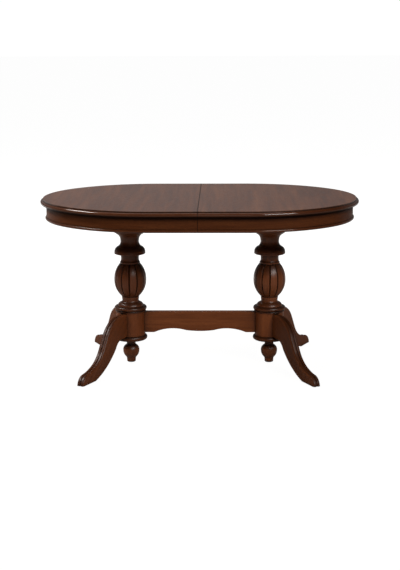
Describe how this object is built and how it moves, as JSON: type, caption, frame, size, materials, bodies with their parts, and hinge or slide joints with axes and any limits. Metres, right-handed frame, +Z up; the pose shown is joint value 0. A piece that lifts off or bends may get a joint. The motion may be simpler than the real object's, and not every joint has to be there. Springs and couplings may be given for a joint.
{
  "type": "double pedestal dining table",
  "caption": "Oval extension dining table: two top halves slide apart over turned pedestals on sabre legs, tied by a scalloped stretcher.",
  "frame": {"origin": "on the floor under the middle of the top, at the closed seam", "axes": "+X along the table to the right half, +Y to the rear, +Z up"},
  "size_m": [1.3998, 0.9, 0.76],
  "materials": {
    "mahogany_top": "glossy dark mahogany stain, grain across the table",
    "mahogany_edge": "glossy dark mahogany stain",
    "mahogany_apron": "satin dark mahogany stain, grain along the apron",
    "mahogany_turned": "satin dark mahogany stain, grain upright",
    "mahogany_legs": "satin dark mahogany stain, grain down the leg",
    "mahogany_stretcher": "satin dark mahogany stain, grain along the stretcher",
    "plain_hardwood": "plain waxed hardwood",
    "zinc_steel": "zinc plated",
    "gear_nylon": "plain nylon",
    "glide_plastic": "plain"
  },
  "bodies": {
    "base": {"left_column": "mahogany_turned", "right_column": "mahogany_turned", "left_collar": "mahogany_turned", "right_collar": "mahogany_turned", "left_drum": "mahogany_turned", "right_drum": "mahogany_turned", "left_base_cap": "mahogany_turned", "right_base_cap": "mahogany_turned", "left_finial": "mahogany_turned", "right_finial": "mahogany_turned", "left_leg_front": "mahogany_legs", "left_leg_rear": "mahogany_legs", "right_leg_front": "mahogany_legs", "right_leg_rear": "mahogany_legs", "stretcher": "mahogany_stretcher", "front_base_rail": "plain_hardwood", "rear_base_rail": "plain_hardwood", "left_bearer": "plain_hardwood", "right_bearer": "plain_hardwood", "equaliser_bridge": "plain_hardwood", "rail_screws": "zinc_steel", "column_screws": "zinc_steel", "bridge_screws": "zinc_steel", "pinion_axle": "zinc_steel", "finial_studs": "zinc_steel", "frame_bolts": "zinc_steel", "frame_nuts": "zinc_steel", "foot_glides": "glide_plastic"},
    "left_top": {"left_top_panel": "mahogany_top", "left_edge_moulding": "mahogany_edge", "left_apron": "mahogany_apron", "left_apron_bead": "mahogany_edge", "left_glue_blocks": "plain_hardwood", "left_front_runner": "plain_hardwood", "left_rear_runner": "plain_hardwood", "left_runner_screws": "zinc_steel", "left_cleat": "plain_hardwood", "left_rack": "gear_nylon", "seam_dowels": "plain_hardwood", "latch_plates": "zinc_steel", "latch_pins": "zinc_steel"},
    "right_top": {"right_top_panel": "mahogany_top", "right_edge_moulding": "mahogany_edge", "right_apron": "mahogany_apron", "right_apron_bead": "mahogany_edge", "right_glue_blocks": "plain_hardwood", "right_front_runner": "plain_hardwood", "right_rear_runner": "plain_hardwood", "right_runner_screws": "zinc_steel", "right_cleat": "plain_hardwood", "right_rack": "gear_nylon", "latch_keepers": "zinc_steel"},
    "pinion": {"equaliser_pinion": "gear_nylon"},
    "front_latch": {"front_latch": "zinc_steel"},
    "rear_latch": {"rear_latch": "zinc_steel"}
  },
  "joints": [
    {"name": "left_top_slide", "type": "slide", "parent": "base", "child": "left_top", "axis": [-1, 0, 0], "range_m": [0, 0.2]},
    {"name": "right_top_slide", "type": "slide", "parent": "base", "child": "right_top", "axis": [1, 0, 0], "range_m": [0, 0.2]},
    {"name": "pinion_turn", "type": "hinge", "parent": "base", "child": "pinion", "pos_m": [0, 0, 0.707], "axis": [0, 0, 1], "range_deg": [-425, 0.5]},
    {"name": "front_latch_swing", "type": "hinge", "parent": "left_top", "child": "front_latch", "pos_m": [-0.024, -0.3, 0.7335], "axis": [0, 0, 1], "range_deg": [0, 90]},
    {"name": "rear_latch_swing", "type": "hinge", "parent": "left_top", "child": "rear_latch", "pos_m": [-0.024, 0.3, 0.7335], "axis": [0, 0, -1], "range_deg": [0, 90]}
  ],
  "couplings": [
    {"joint": "right_top_slide", "follows": "left_top_slide", "ratio": 1},
    {"joint": "pinion_turn", "follows": "left_top_slide", "rad_per_m": -37.037}
  ]
}
